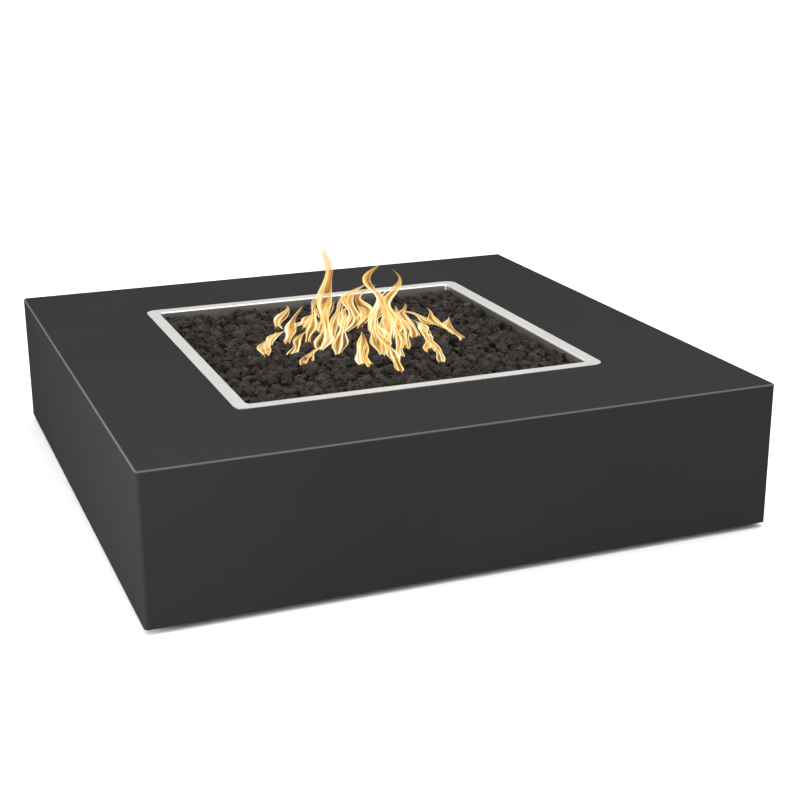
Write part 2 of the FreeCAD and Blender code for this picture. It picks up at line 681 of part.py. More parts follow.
def make_catch():
    half_z = catch_height / 2
    low = door_middle - half_z
    high = door_middle + half_z
    edge = free_edge + strike_width
    strike = box("strike", (free_edge, strike_face, low), (edge, strike_face + strike_sheet, high))
    sub_part(strike, "strike_plate")

    web = -doorway_width / 2 - bracket_stand
    web_left = web - bracket_sheet
    shelf_back = catch_back - bracket_sheet
    outline = [
        (web - bracket_leg, wall_in), (web - bracket_leg, wall_in - bracket_sheet),
        (web_left, wall_in - bracket_sheet), (web_left, shelf_back), (edge, shelf_back),
        (edge, catch_back), (web, catch_back), (web, wall_in),
    ]
    bracket = new_body("bracket_form")
    pad(bracket, "bracket_strip", sketch(bracket, "bracket_outline", "XY_Plane", [outline]), catch_height)
    place(bracket, (0, 0, low))
    middle_x = free_edge + strike_width / 2
    bracket_holes = []
    catch_holes = []
    screws = []
    block_depth = catch_depth * 0.6
    for end in (-1, 1):
        level = door_middle + end * catch_screw_spread / 2
        back_spot = (middle_x, shelf_back, level)
        block_spot = (middle_x, catch_back, level)
        bore = screw_radius + thread_gap
        bracket_holes.append(cylinder("bracket_hole_%d" % (end + 1), bore, bracket_sheet, back_spot, "y"))
        tag = "catch_hole_%d" % (end + 1)
        catch_holes.append(cylinder(tag, bore, block_depth + thread_end, block_spot, "y"))
        screws.append(screw("catch_screw_%d" % (end + 1), bracket_sheet + block_depth, back_spot, "y"))
    sub_part(cut("bracket", bracket, *bracket_holes), "catch_bracket")
    block = box("catch_block", (free_edge, catch_back, low), (edge, catch_back + catch_depth, high))
    sub_part(cut("catch", block, *catch_holes), "magnetic_catch")
    sub_part(grouped("catch_screw_pair", screws), "catch_screws")


# ---------------------------------------------------------------- vents


def louvre_cover(name):
    """A louvred cover in its own frame: width along X, height along Z, outwards along Y."""
    body = new_body(name)
    half_x = vent_width / 2 + vent_border
    half_z = vent_height / 2 + vent_border
    pad(body, name + "_slab", sketch(body, name + "_side", "YZ_Plane", [
        rectangle(0, -half_z, vent_sheet, half_z)], lift=-half_x), 2 * half_x)
    levels = [(index - (LOUVRES - 1) / 2) * louvre_pitch for index in range(LOUVRES)]
    slots = [rectangle(-louvre_length / 2, level, louvre_length / 2, level + louvre_slot) for level in levels]
    holes = [(across, up, screw_radius + thread_gap) for across, up in vent_screw_spots()]
    opened = sketch(body, name + "_slots", "XZ_Plane", slots, holes)
    pocket(body, name + "_slotting", opened, vent_sheet, reverse=False)
    hoods = []
    for level in levels:
        top = level + louvre_slot
        hoods.append([(vent_sheet / 2, top), (vent_sheet / 2, top + vent_sheet),
                      (louvre_reach, level + vent_sheet), (louvre_reach, level)])
    pad(body, name + "_hoods", sketch(body, name + "_hood_side", "YZ_Plane", hoods, lift=-louvre_length / 2),
        louvre_length)
    return body


def make_vents():
    back_spot = (-vent_back_place, wall_out, vent_level)
    side_spot = (side_out, vent_side_place, vent_level)
    sub_part(place(louvre_cover("back_cover"), back_spot), "vent_cover_back")
    sideways = Rotation(Vector(0, 0, 1), -QUARTER)
    sub_part(place(louvre_cover("side_cover"), side_spot, sideways), "vent_cover_side")
    shank = vent_sheet + shell_sheet + screw_past
    back_screws = []
    side_screws = []
    for index, (across, up) in enumerate(vent_screw_spots()):
        back_at = (-vent_back_place + across, wall_out + vent_sheet, vent_level + up)
        side_at = (side_out + vent_sheet, vent_side_place + across, vent_level + up)
        back_screws.append(screw("back_screw_%d" % index, shank, back_at, "-y"))
        side_screws.append(screw("side_screw_%d" % index, shank, side_at, "-x"))
    sub_part(grouped("back_screws", back_screws), "vent_screws_back")
    sub_part(grouped("side_screws", side_screws), "vent_screws_side")


# ---------------------------------------------------------------- pan, burner and lava rock


def make_pan():
    half_out = pan_outside / 2
    half_in = pan_inside / 2
    half_span = pan_span / 2
    depth = pan_depth - pan_sheet
    form = new_body("pan_form")
    pad(form, "pan_block", sketch(form, "pan_plan", "XY_Plane", [square(half_out, half_out)]), depth)
    rounded(form, "pan_uprights", pan_wall_corner, upright_at(half_out, half_out))
    rounded(form, "pan_floor_edges", pan_floor_bend, level_at(0))
    flange = sketch(form, "flange_plan", "XY_Plane", [square(half_span, half_span)], lift=depth)
    pad(form, "pan_flange_slab", flange, pan_sheet)
    rounded(form, "flange_corners", pan_corner, upright_at(half_span, half_span))
    rounded(form, "rim_under", rim_bend - pan_sheet, level_at(depth, within=half_out + root_overlap))

    hollow = new_body("pan_hollow")
    plan = sketch(hollow, "hollow_of_pan", "XY_Plane", [square(half_in, half_in)], lift=pan_sheet)
    pad(hollow, "hollow_block", plan, pan_depth)
    rounded(hollow, "hollow_uprights", pan_wall_corner - pan_sheet, upright_at(half_in, half_in))
    rounded(hollow, "hollow_floor_edges", pan_floor_bend - pan_sheet, level_at(pan_sheet))
    tools = [hollow, cylinder("nipple_hole", nipple_radius + 2 * slide_gap, 2 * pan_sheet,
                              (0, 0, -pan_sheet / 2))]
    reach = half_in - drain_inset
    for corner, (side_x, side_y) in corners.items():
        spot = (side_x * reach, side_y * reach, -pan_sheet / 2)
        tools.append(cylinder("drain_" + corner, drain_radius, 2 * pan_sheet, spot))

    body = new_body("pan_finish")
    body.BaseFeature = cut("pan_blank", form, *tools)
    rounded(body, "rim_fold", rim_bend, level_at(pan_depth, within=half_out))
    sub_part(place(body, (0, 0, pan_under)), "burner_pan")


def burner_tubes(name, inwards):
    """Both rings and the two cross tubes, their sections taken in by a wall or by nothing."""
    middle = (0, 0, ring_level)
    cross = cross_radius - inwards
    return [
        torus(name + "_outer_ring", ring_outer, tube_radius - inwards, middle),
        torus(name + "_inner_ring", ring_inner, tube_radius - inwards, middle),
        cylinder(name + "_cross_x", cross, 2 * ring_outer, (-ring_outer, 0, ring_level), "x"),
        cylinder(name + "_cross_y", cross, 2 * ring_outer, (0, -ring_outer, ring_level), "y"),
    ]


def make_burner():
    hub = cylinder("hub", hub_radius, hub_height, (0, 0, hub_foot))
    outside = fused("burner_outside", hub, *burner_tubes("tube", 0))
    gas_space = burner_tubes("gas", tube_wall)
    thread = cylinder("hub_thread", nipple_radius + thread_gap, thread_depth, (0, 0, hub_foot))
    way = cylinder("hub_way", nipple_bore, burner_rise, (0, 0, hub_foot))
    inside = fused("burner_inside", thread, way, *gas_space)
    ports = []
    for ring, count in ((ring_outer, OUTER_PORTS), (ring_inner, INNER_PORTS)):
        for index in range(count):
            angle = (index + 0.5) * math.tau / count
            spot = (ring * math.cos(angle), ring * math.sin(angle), ring_level)
            ports.append(cylinder("port", port_radius, tube_radius * 2, spot))
    sub_part(cut("burner", outside, inside, *ports), "double_ring_burner")


def make_rock_bed():
    body = new_body("rock_form")
    half = pan_inside / 2 - rock_gap
    pad(body, "rock_block", sketch(body, "rock_plan", "XY_Plane", [square(half, half)]), rock_depth)
    rounded(body, "rock_uprights", pan_wall_corner, upright_at(half, half))
    rounded(body, "rock_foot", rock_chamfer, level_at(0), "PartDesign::Chamfer")
    base = half - pan_wall_corner
    crown = body.newObject("PartDesign::AdditiveLoft", "rock_crown_loft")
    crown.Profile = sketch(body, "crown_foot", "XY_Plane", [square(base, base)], lift=rock_depth)
    top = rock_crown_span / 2
    crown.Sections = [sketch(body, "crown_top", "XY_Plane", [square(top, top)], lift=rock_depth + rock_crown)]
    place(body, (0, 0, pan_floor))
    clear = tube_radius + rock_burner_gap
    roof = ring_level + clear
    tools = [cylinder("hub_room", hub_radius + rock_burner_gap, hub_height + washer_sheet + rock_burner_gap,
                      (0, 0, pan_floor))]
    for name, ring in (("outer", ring_outer), ("inner", ring_inner)):
        trench = rectangle(ring - clear, 0, ring + clear, roof - pan_floor)
        tools.append(turned("trench_" + name, trench, (0, 0, pan_floor)))
    tools.append(box("trench_x", (-ring_outer, -clear, pan_floor), (ring_outer, clear, roof)))
    tools.append(box("trench_y", (-clear, -ring_outer, pan_floor), (clear, ring_outer, roof)))
    sub_part(cut("rock", body, fused("burner_room", *tools)), "lava_rock_bed")


# ---------------------------------------------------------------- gas fittings, hose and valve


def flare_tail(name, nose, along):
    """The male flare of a fitting, from its chamfered nose into the fitting's hexagon."""
    length = flare_length + root_overlap
    profile = [(0, 0), (flare_radius - flare_lead, 0), (flare_radius, flare_lead), (flare_radius, length),
               (0, length)]
    return turned(name, profile, nose, along)


def make_burner_fittings():
    washer = cut("washer", cylinder("washer_disc", washer_radius, washer_sheet, (0, 0, pan_floor)),
                 cylinder("washer_hole", nipple_radius + slide_gap, washer_sheet, (0, 0, pan_floor)))
    sub_part(washer, "burner_washer")
    nipple_high = hub_foot + thread_depth - thread_end
    pipe = cylinder("pipe", nipple_radius, nipple_high - nipple_low, (0, 0, nipple_low))
    way = cylinder("pipe_way", nipple_bore, nipple_high - nipple_low, (0, 0, nipple_low))
    sub_part(cut("nipple", pipe, way), "burner_nipple")
    nut_foot = (0, 0, pan_under - locknut_height)
    nut = hexagon("locknut_blank", locknut_flats, locknut_height, nut_foot)
    bore = cylinder("locknut_bore", nipple_radius + thread_gap, locknut_height, nut_foot)
    sub_part(cut("locknut", nut, bore), "burner_locknut")
    head = hexagon("fitting_head", fitting_flats, fitting_height, (0, 0, fitting_low))
    nose = (0, 0, fitting_low - flare_length)
    tail = flare_tail("fitting_tail", nose, "z")
    socket = cylinder("fitting_socket", nipple_radius + thread_gap, thread_depth, (0, 0, nipple_low))
    gas = cylinder("fitting_way", flare_bore, flare_length + fitting_height, nose)
    sub_part(cut("fitting", fused("fitting_form", head, tail), socket, gas), "flare_fitting_burner")


def make_outlet_fitting():
    """The male flare fitting screwed into the valve's outlet, pointing left."""
    root = valve_place - boss_reach
    thread_length = thread_depth - thread_end
    thread = cylinder("outlet_thread", inlet_radius - thread_gap, thread_length,
                      (root + thread_length, valve_middle, valve_level), "-x")
    head = hexagon("outlet_head", outlet_flats, locknut_height, (root, valve_middle, valve_level), "-x")
    nose = root - locknut_height - flare_length
    tail = flare_tail("outlet_tail", (nose, valve_middle, valve_level), "x")
    gas = cylinder("outlet_way", flare_bore, flare_length + locknut_height + thread_depth,
                   (nose, valve_middle, valve_level), "x")
    sub_part(cut("outlet", fused("outlet_form", thread, head, tail), gas), "flare_fitting_valve")


def hose_nut(name, label, mouth, along):
    """A hose nut from its mouth down to the hose: a wide bore for the flare, a narrow one behind."""
    blank = hexagon(name + "_blank", hose_nut_flats, hose_nut_length, mouth, along)
    wide_length = flare_length - hose_nut_stand + flare_lead
    wide = cylinder(name + "_wide", flare_radius + slide_gap, wide_length, mouth, along)
    narrow = cylinder(name + "_narrow", hose_radius + thread_gap, hose_nut_length, mouth, along)
    sub_part(cut(name, blank, wide, narrow), label)


def rounded_route(points):
    """Straight runs joined by tangent arcs, each as large as its two runs allow."""
    edges = []
    radii = []
    start = points[0]
    for before, corner, after in zip(points, points[1:], points[2:]):
        arriving = before - corner
        leaving = after - corner
        reach = ARC_SHARE * min(arriving.Length, leaving.Length)
        half_turn = (math.pi - arriving.getAngle(leaving)) / 2
        first = corner + arriving.normalize() * reach
        last = corner + leaving.normalize() * reach
        radius = reach / math.tan(half_turn)
        inward = (arriving + leaving).normalize()
        middle = corner + inward * (math.hypot(radius, reach) - radius)
        edges.append(Part.LineSegment(start, first).toShape())
        edges.append(Part.Arc(first, middle, last).toShape())
        radii.append(radius)
        start = last
    edges.append(Part.LineSegment(start, points[-1]).toShape())
    return Part.Wire(edges), radii


def make_hose():
    burner_mouth = fitting_low - hose_nut_stand
    outlet_root = valve_place - boss_reach - locknut_height
    valve_mouth = outlet_root - hose_nut_stand
    hose_nut("burner_hose_nut", "hose_nut_burner", (0, 0, burner_mouth), "-z")
    hose_nut("valve_hose_nut", "hose_nut_valve", (valve_mouth, valve_middle, valve_level), "-x")
    seat = flare_length - hose_nut_stand + slide_gap
    start_x = float(valve_mouth - seat)
    start_y = float(valve_middle)
    start_z = float(valve_level)
    end_z = float(burner_mouth - seat)
    # shares of the way from burner to valve in plan, then the height above the floor
    route = [(1, 1, start_z), (0.62, 1, start_z), (0.33, 0.92, 120), (0.15, 0.78, 85), (0.05, 0.62, 55),
             (-0.02, 0.46, 40), (0, 0.29, 32), (0, 0.1, 36), (0, 0, 96), (0, 0, end_z)]
    points = [Vector(across * start_x, back * start_y, height) for across, back, height in route]
    path, radii = rounded_route(points)
    ring = Part.Wire(Part.Circle(points[0], points[1] - points[0], float(hose_radius)).toShape())
    solid = path.makePipeShell([ring], True, True)
    expected = math.pi * float(hose_radius) ** 2 * path.Length
    print("gas hose: length %.1f mm, volume ratio %.4f" % (path.Length, solid.Volume / expected))
    print("gas hose radii:", ", ".join("%.0f" % radius for radius in radii))
    hose = document.addObject("Part::Feature", "hose")
    hose.Shape = solid
    hose.Placement = Placement()
    sub_part(hose, "gas_hose")


def make_valve():
    axis = (valve_place, valve_middle, valve_level)
    low_end = (valve_place, valve_middle - plug_half - valve_wall, valve_level)
    inlet_end = (valve_place, valve_middle, valve_level - boss_reach)
    outlet_end = (valve_place - boss_reach, valve_middle, valve_level)
    form = fused("valve_form",
                 cylinder("chamber", valve_radius, 2 * plug_half + valve_wall, low_end, "y"),
                 cylinder("inlet_boss", boss_radius, boss_reach, axis, "-z"),
                 cylinder("outlet_boss", boss_radius, boss_reach, axis, "-x"))
    chamber_low = (valve_place, valve_middle - plug_half, valve_level)
    body = cut("valve", form,
               cylinder("chamber_bore", plug_radius + fit_gap, 2 * plug_half, chamber_low, "y"),
               cylinder("inlet_thread", inlet_radius, thread_depth, inlet_end, "z"),
               cylinder("inlet_way", gas_way, boss_reach, inlet_end, "z"),
               cylinder("outlet_socket", inlet_radius, thread_depth, outlet_end, "x"),
               cylinder("outlet_gas_way", gas_way, boss_reach, outlet_end, "x"))
    sub_part(body, "valve_body")

    plug_low = (valve_place, valve_middle - plug_half + slide_gap, valve_level)
    plug = cut("plug", cylinder("plug_blank", plug_radius, 2 * (plug_half - slide_gap), plug_low, "y"),
               cylinder("plug_down_way", gas_way, plug_radius + root_overlap, axis, "-z"),
               cylinder("plug_side_way", gas_way, plug_radius + root_overlap, axis, "-x"))
    sub_part(plug, "valve_plug")

    half = stem_square / 2
    square_low = (valve_place - half, stem_shoulder, valve_level - half)
    square_high = (valve_place + half, stem_shoulder + square_length, valve_level + half)
    rod = cylinder("stem_rod", stem_radius, stem_length, (valve_place, plug_front, valve_level), "y")
    sub_part(fused("stem", rod, box("stem_end", square_low, square_high)), "valve_stem")

    neck_end = wall_out + neck_proud
    bonnet_at = (valve_place, bonnet_foot, valve_level)
    head = hexagon("bonnet_head", bonnet_flats, bonnet_height, bonnet_at, "y")
    neck = cylinder("bonnet_neck", neck_radius, neck_end - bonnet_foot, bonnet_at, "y")
    bore = cylinder("bonnet_bore", neck_bore, neck_end - bonnet_foot, bonnet_at, "y")
    sub_part(cut("bonnet", fused("bonnet_form", head, neck), bore), "valve_bonnet")

    seal_at = bonnet_foot + bonnet_height / 2
    seal_middle = (stem_radius + neck_bore) / 2
    seal = torus("seal", seal_middle, seal_radius, (valve_place, seal_at, valve_level))
    place(seal, (valve_place, seal_at, valve_level), TURNS["y"])
    sub_part(seal, "stem_seal_ring")

    nut_at = (valve_place, wall_in - locknut_height, valve_level)
    nut = cut("neck_nut", hexagon("neck_nut_blank", neck_nut_flats, locknut_height, nut_at, "y"),
              cylinder("neck_nut_bore", neck_radius + thread_gap, locknut_height, nut_at, "y"))
    sub_part(nut, "valve_neck_nut")
    hole = neck_radius + thread_gap
    profile = [(hole, 0), (plate_radius, 0), (plate_radius, plate_depth * 0.3),
               (plate_radius * 0.8, plate_depth * 0.8), (plate_radius * 0.6, plate_depth),
               (hole, plate_depth)]
    sub_part(turned("plate", profile, (valve_place, wall_out, valve_level), "y"), "valve_cover_plate")


def make_key():
    tip = (valve_place, key_tip, valve_level)
    far = key_tip + key_length
    shaft = cylinder("key_shaft", key_radius, key_length, tip, "y")
    left = (valve_place - key_handle / 2, far, valve_level)
    bar = cylinder("key_bar", key_bar_radius, key_handle, left, "x")
    half = stem_square / 2 + slide_gap
    socket = box("key_socket", (valve_place - half, key_tip, valve_level - half),
                 (valve_place + half, key_tip + square_length + slide_gap, valve_level + half))
    sub_part(cut("key", fused("key_form", shaft, bar), socket), "valve_key")


# ---------------------------------------------------------------- build, test and write


def write_sub_parts():
    """Refuse anything that failed, then write one file for each sub-part."""
    document.recompute()
    for item in document.Objects:
        if "Invalid" in item.State or "Error" in item.State:
            raise RuntimeError("%s failed: %s" % (item.Name, item.State))
    labels = [item.Label for item in sub_parts]
    if len(set(labels)) != len(labels):
        raise RuntimeError("two sub-parts share a name")
    for item in sub_parts:
        if item.Shape.isNull() or not item.Shape.isValid() or item.Shape.Volume <= 0:
            raise RuntimeError("%s has no sound shape" % item.Label)
    os.makedirs("parts", exist_ok=True)
    for item in sub_parts:
        item.Shape.exportStep("parts/%s.step" % item.Label)
    print("%d sub-parts written" % len(sub_parts))


make_shell()
make_foot_plates()
make_feet()
make_door()
make_hinges()
make_hinge_rivets()
make_knob()
make_catch()
make_vents()
make_pan()
make_burner()
make_rock_bed()
make_burner_fittings()
make_outlet_fitting()
make_hose()
make_valve()
make_key()
write_sub_parts()
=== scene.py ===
import json
import math
import random

import bpy
from mathutils import Matrix, Vector

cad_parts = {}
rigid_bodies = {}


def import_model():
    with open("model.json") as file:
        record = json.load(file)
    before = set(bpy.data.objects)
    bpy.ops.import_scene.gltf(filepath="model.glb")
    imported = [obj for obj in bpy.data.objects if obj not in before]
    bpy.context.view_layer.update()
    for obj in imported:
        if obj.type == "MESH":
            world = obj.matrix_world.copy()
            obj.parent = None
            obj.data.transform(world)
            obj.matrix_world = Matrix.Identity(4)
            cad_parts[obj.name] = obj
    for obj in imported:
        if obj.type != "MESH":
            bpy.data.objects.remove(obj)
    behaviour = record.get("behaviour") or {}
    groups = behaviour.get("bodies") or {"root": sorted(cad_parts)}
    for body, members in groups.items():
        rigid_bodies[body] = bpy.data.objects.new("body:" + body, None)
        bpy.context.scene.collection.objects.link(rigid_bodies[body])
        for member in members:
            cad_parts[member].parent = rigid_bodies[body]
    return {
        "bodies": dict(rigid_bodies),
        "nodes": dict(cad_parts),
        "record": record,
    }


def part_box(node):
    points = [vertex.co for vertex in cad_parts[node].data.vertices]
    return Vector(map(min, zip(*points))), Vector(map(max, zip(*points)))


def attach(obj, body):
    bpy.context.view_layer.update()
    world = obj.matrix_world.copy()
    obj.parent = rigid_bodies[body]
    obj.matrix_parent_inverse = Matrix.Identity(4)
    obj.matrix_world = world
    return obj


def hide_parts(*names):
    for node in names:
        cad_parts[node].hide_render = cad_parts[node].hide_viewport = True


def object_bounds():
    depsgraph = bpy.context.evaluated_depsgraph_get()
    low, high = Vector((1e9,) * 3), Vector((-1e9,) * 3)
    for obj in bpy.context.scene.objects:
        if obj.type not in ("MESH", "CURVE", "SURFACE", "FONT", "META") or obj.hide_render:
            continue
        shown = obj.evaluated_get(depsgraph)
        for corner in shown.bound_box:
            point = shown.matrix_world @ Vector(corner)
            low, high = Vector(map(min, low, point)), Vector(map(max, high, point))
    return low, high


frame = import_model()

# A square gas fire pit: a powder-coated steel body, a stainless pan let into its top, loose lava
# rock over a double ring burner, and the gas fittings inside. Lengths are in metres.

CAD_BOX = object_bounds()
SHELL_LOW, SHELL_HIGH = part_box("fire_pit_shell")
PAN_LOW, PAN_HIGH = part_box("burner_pan")
ROCK_LOW, ROCK_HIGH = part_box("lava_rock_bed")
BEND = 0.004  # outside radius of the body's top edges


# ---------------------------------------------------------------- node trees

def set_inputs(tree, node, inputs):
    """Give a node's sockets, by name or number, a value or another node's output."""
    for name, value in inputs.items():
        socket = node.inputs[name]
        if isinstance(value, bpy.types.NodeSocket):
            tree.links.new(value, socket)
        else:
            socket.default_value = value


def add(tree, kind, inputs=None, **settings):
    """A new node with its settings and inputs."""
    node = tree.nodes.new(kind)
    for name, value in settings.items():
        setattr(node, name, value)
    set_inputs(tree, node, inputs or {})
    return node


def new_finish(name):
    """A material with its tree and its main shader."""
    material = bpy.data.materials.new(name)
    material.use_nodes = True
    tree = material.node_tree
    return material, tree, tree.nodes["Principled BSDF"]


def where(tree, stretch=(1, 1, 1)):
    """Places on the piece, in its own coordinates, with each axis stretched."""
    place = add(tree, "ShaderNodeTexCoord").outputs["Object"]
    return add(tree, "ShaderNodeMapping", {"Vector": place, "Scale": stretch}).outputs["Vector"]


def clouds(tree, place, across, detail=3.0):
    """Soft random pattern, about 0 to 1, with features of that width."""
    inputs = {"Vector": place, "Scale": 1 / across, "Detail": detail}
    return add(tree, "ShaderNodeTexNoise", inputs).outputs[0]


def pits(tree, place, across):
    """Random cells of that width: the distance from each cell's middle."""
    return add(tree, "ShaderNodeTexVoronoi", {"Vector": place, "Scale": 1 / across}).outputs["Distance"]


def maths(tree, operation, first, second=0.0, third=0.0):
    """A sum on up to three numbers or outputs."""
    return add(tree, "ShaderNodeMath", {0: first, 1: second, 2: third}, operation=operation).outputs[0]


def between(tree, pattern, low, high, start=0.3, end=0.7, curve="LINEAR"):
    """Map a pattern's start and end to low and high."""
    inputs = {"Value": pattern, "From Min": start, "From Max": end, "To Min": low, "To Max": high}
    return add(tree, "ShaderNodeMapRange", inputs, interpolation_type=curve).outputs["Result"]


def ease(tree, pattern, start, end, low=0.0, high=1.0):
    """Map a pattern's start and end to low and high, slow at both ends."""
    return between(tree, pattern, low, high, start, end, "SMOOTHSTEP")


def shades(tree, pattern, stops):
    """Colours along a pattern, as (place, colour) stops."""
    ramp = add(tree, "ShaderNodeValToRGB", {"Fac": pattern})
    points = ramp.color_ramp.elements
    while len(points) < len(stops):
        points.new(0.5)
    for point, (place, colour) in zip(points, stops):
        point.position = place
        point.color = (*colour, 1)
    return ramp.outputs["Color"]


def relief(tree, height, depth, over=None):
    """Bumps of that depth, laid over another relief if there is one."""
    inputs = {"Height": height, "Distance": depth, "Strength": 1.0}
    if over is not None:
        inputs["Normal"] = over
    return add(tree, "ShaderNodeBump", inputs).outputs["Normal"]


# ---------------------------------------------------------------- finishes

def top_bend_highlight_mask(tree):
    """1 where the body's sides bend over into its top, and 0 elsewhere: the mask of the painted highlight
    along the top bends.
    """
    spot = add(tree, "ShaderNodeSeparateXYZ", {0: add(tree, "ShaderNodeTexCoord").outputs["Object"]})
    along_x, along_y = (maths(tree, "ABSOLUTE", spot.outputs[axis]) for axis in "XY")
    reach = maths(tree, "MAXIMUM", along_x, along_y)
    outwards = between(tree, reach, 0, 1, start=SHELL_HIGH.x - BEND, end=SHELL_HIGH.x - 0.3 * BEND)
    upwards = between(tree, spot.outputs["Z"], 0, 1, start=SHELL_HIGH.z - BEND, end=SHELL_HIGH.z - 0.3 * BEND)
    return maths(tree, "MULTIPLY", outwards, upwards)


def powder_coat():
    """Matt charcoal powder coat: fine orange peel, and a painted highlight, a paler colour, along the top
    bends.
    """
    material, tree, shader = new_finish("charcoal_powder_coat")
    place = where(tree)
    drift = clouds(tree, place, 0.4)
    peel = clouds(tree, place, 0.0022, detail=1.0)
    coat = shades(tree, drift, [(0.3, (0.0230, 0.0230, 0.0233)), (0.7, (0.0252, 0.0252, 0.0255))])
    # painted highlight: a paler colour along the top bends, in place of the light they reflect
    bend_highlight_tone = (0.105, 0.105, 0.106, 1)
    coat_with_bend_highlight = add(tree, "ShaderNodeMix", {"Factor": top_bend_highlight_mask(tree), 6: coat, 7: bend_highlight_tone}, data_type="RGBA")
    set_inputs(tree, shader, {
        "Base Color": coat_with_bend_highlight.outputs[2],
        "Roughness": between(tree, drift, 0.50, 0.56),
        "Specular IOR Level": 0.0,
        "Normal": relief(tree, peel, 0.00004),
    })
    return material


def brushed_steel(name, tone, grain, dull):
    """Stainless sheet, brushed along one axis: long fine scratches across the other two."""
    material, tree, shader = new_finish(name)
    scratches = clouds(tree, where(tree, grain), 0.0012, detail=4.0)
    smudges = clouds(tree, where(tree), 0.09)
    set_inputs(tree, shader, {
        "Base Color": shades(tree, scratches, [(0.3, tone), (0.7, tuple(1.08 * part for part in tone))]),
        "Metallic": 1.0,
        "Roughness": between(tree, smudges, dull - 0.03, dull + 0.04),
        "Normal": relief(tree, scratches, 0.00003),
    })
    return material


def plain_metal(name, tone, dark_tone, dull, grain_across=0.004, grain_depth=0.00002):
    """Turned or pressed metal: two tones in soft patches, and a fine grain."""
    material, tree, shader = new_finish(name)
    place = where(tree)
    patches = clouds(tree, place, 0.012, detail=5.0)
    grain = clouds(tree, place, grain_across, detail=3.0)
    set_inputs(tree, shader, {
        "Base Color": shades(tree, patches, [(0.35, dark_tone), (0.65, tone)]),
        "Metallic": 1.0,
        "Roughness": between(tree, patches, dull + 0.05, dull - 0.04),
        "Normal": relief(tree, grain, grain_depth),
    })
    return material


def zinc_plate():
    """Bright zinc plate, with its faint crystals and a straw tint from passivation."""
    material, tree, shader = new_finish("zinc_plate")
    place = where(tree)
    crystals = pits(tree, place, 0.003)
    tint = clouds(tree, place, 0.02)
    set_inputs(tree, shader, {
        "Base Color": shades(tree, tint, [(0.35, (0.52, 0.53, 0.54)), (0.65, (0.62, 0.59, 0.50))]),
        "Metallic": 1.0,
        "Roughness": between(tree, crystals, 0.28, 0.42, start=0.0, end=0.6),
        "Normal": relief(tree, crystals, 0.00002),
    })
    return material


def burnt_steel():
    """Burner tube: stainless steel with straw and blue heat tints in patches."""
    material, tree, shader = new_finish("heat_tinted_steel")
    place = where(tree)
    heat = clouds(tree, place, 0.07, detail=4.0)
    grain = clouds(tree, place, 0.0015)
    tones = [(0.30, (0.50, 0.49, 0.47)), (0.46, (0.52, 0.42, 0.27)), (0.58, (0.34, 0.24, 0.20)),
             (0.72, (0.22, 0.24, 0.32))]
    set_inputs(tree, shader, {
        "Base Color": shades(tree, heat, tones),
        "Metallic": 1.0,
        "Roughness": between(tree, heat, 0.30, 0.48),
        "Normal": relief(tree, grain, 0.00002),
    })
    return material


def moulded(name, tone, dull, grain_across):
    """Moulded plastic or rubber with a spark-eroded grain."""
    material, tree, shader = new_finish(name)
    place = where(tree)
    grain = clouds(tree, place, grain_across, detail=2.0)
    wear = clouds(tree, place, 0.02)
    set_inputs(tree, shader, {
        "Base Color": shades(tree, wear, [(0.3, tone), (0.7, tuple(1.5 * part for part in tone))]),
        "Roughness": between(tree, wear, dull - 0.06, dull + 0.06),
        "Normal": relief(tree, grain, 0.00006),
    })
    return material


def lava():
    """Porous black-brown lava: each rock has its own tone, with fine pits, and painted shade that darkens the
    hollows of its lumps.
    """
    material, tree, shader = new_finish("black_lava")
    place = where(tree)
    rock = add(tree, "ShaderNodeAttribute", attribute_name="rock_shade").outputs["Fac"]
    pores = pits(tree, place, 0.0042)
    fine = clouds(tree, place, 0.0025, detail=4.0)
    mottle = clouds(tree, place, 0.009, detail=4.0)
    # painted shade: the colour follows the lumps' relief, darker in the hollows and paler on the raised
    # parts, added to each rock's own random tone
    tone_and_hollow_shade = maths(tree, "ADD", mottle, rock)
    tones = [(0.20, (0.015, 0.0125, 0.0105)), (0.55, (0.043, 0.034, 0.028)), (0.85, (0.110, 0.083, 0.062))]
    lumps = relief(tree, mottle, 0.0045)
    grit = relief(tree, fine, 0.0008, lumps)
    set_inputs(tree, shader, {
        "Base Color": shades(tree, between(tree, tone_and_hollow_shade, 0, 1, start=0.3, end=1.3), tones),
        "Roughness": 0.92,
        "Specular IOR Level": 0.25,
        "Normal": relief(tree, between(tree, pores, 0, 1, start=0.0, end=0.5), 0.0014, grit),
    })
    return material


def make_finishes():
    """One finish for each material slot of the record."""
    along_x = (0.02, 1, 1)
    steel = brushed_steel("brushed_stainless", (0.54, 0.53, 0.512), along_x, 0.40)
    return {
        "powder_coat": powder_coat(),
        "stainless": steel,
        "burner_steel": burnt_steel(),
        "zinc_steel": zinc_plate(),
        "brass": plain_metal("brass", (0.70, 0.50, 0.22), (0.52, 0.36, 0.15), 0.30),
        "black_iron": plain_metal("black_oxide", (0.075, 0.072, 0.070), (0.035, 0.033, 0.032), 0.50),
        "chrome": plain_metal("chrome_plate", (0.74, 0.75, 0.76), (0.70, 0.71, 0.72), 0.12),
        "hose_steel": plain_metal("hose_stainless", (0.62, 0.61, 0.59), (0.54, 0.53, 0.51), 0.28),
        "black_plastic": moulded("black_polymer", (0.018, 0.018, 0.018), 0.50, 0.0009),
        "seal_rubber": moulded("seal_rubber", (0.012, 0.012, 0.012), 0.70, 0.0012),
        "lava_rock": lava(),
    }


def dress_nodes(finishes):
    """Every CAD node gets the finish of its material slot."""
    for part in frame["record"]["subparts"]:
        node = frame["nodes"][part["node"]]
        node.data.materials.clear()
        node.data.materials.append(finishes[part["material_slot"]])


# ---------------------------------------------------------------- loose rock

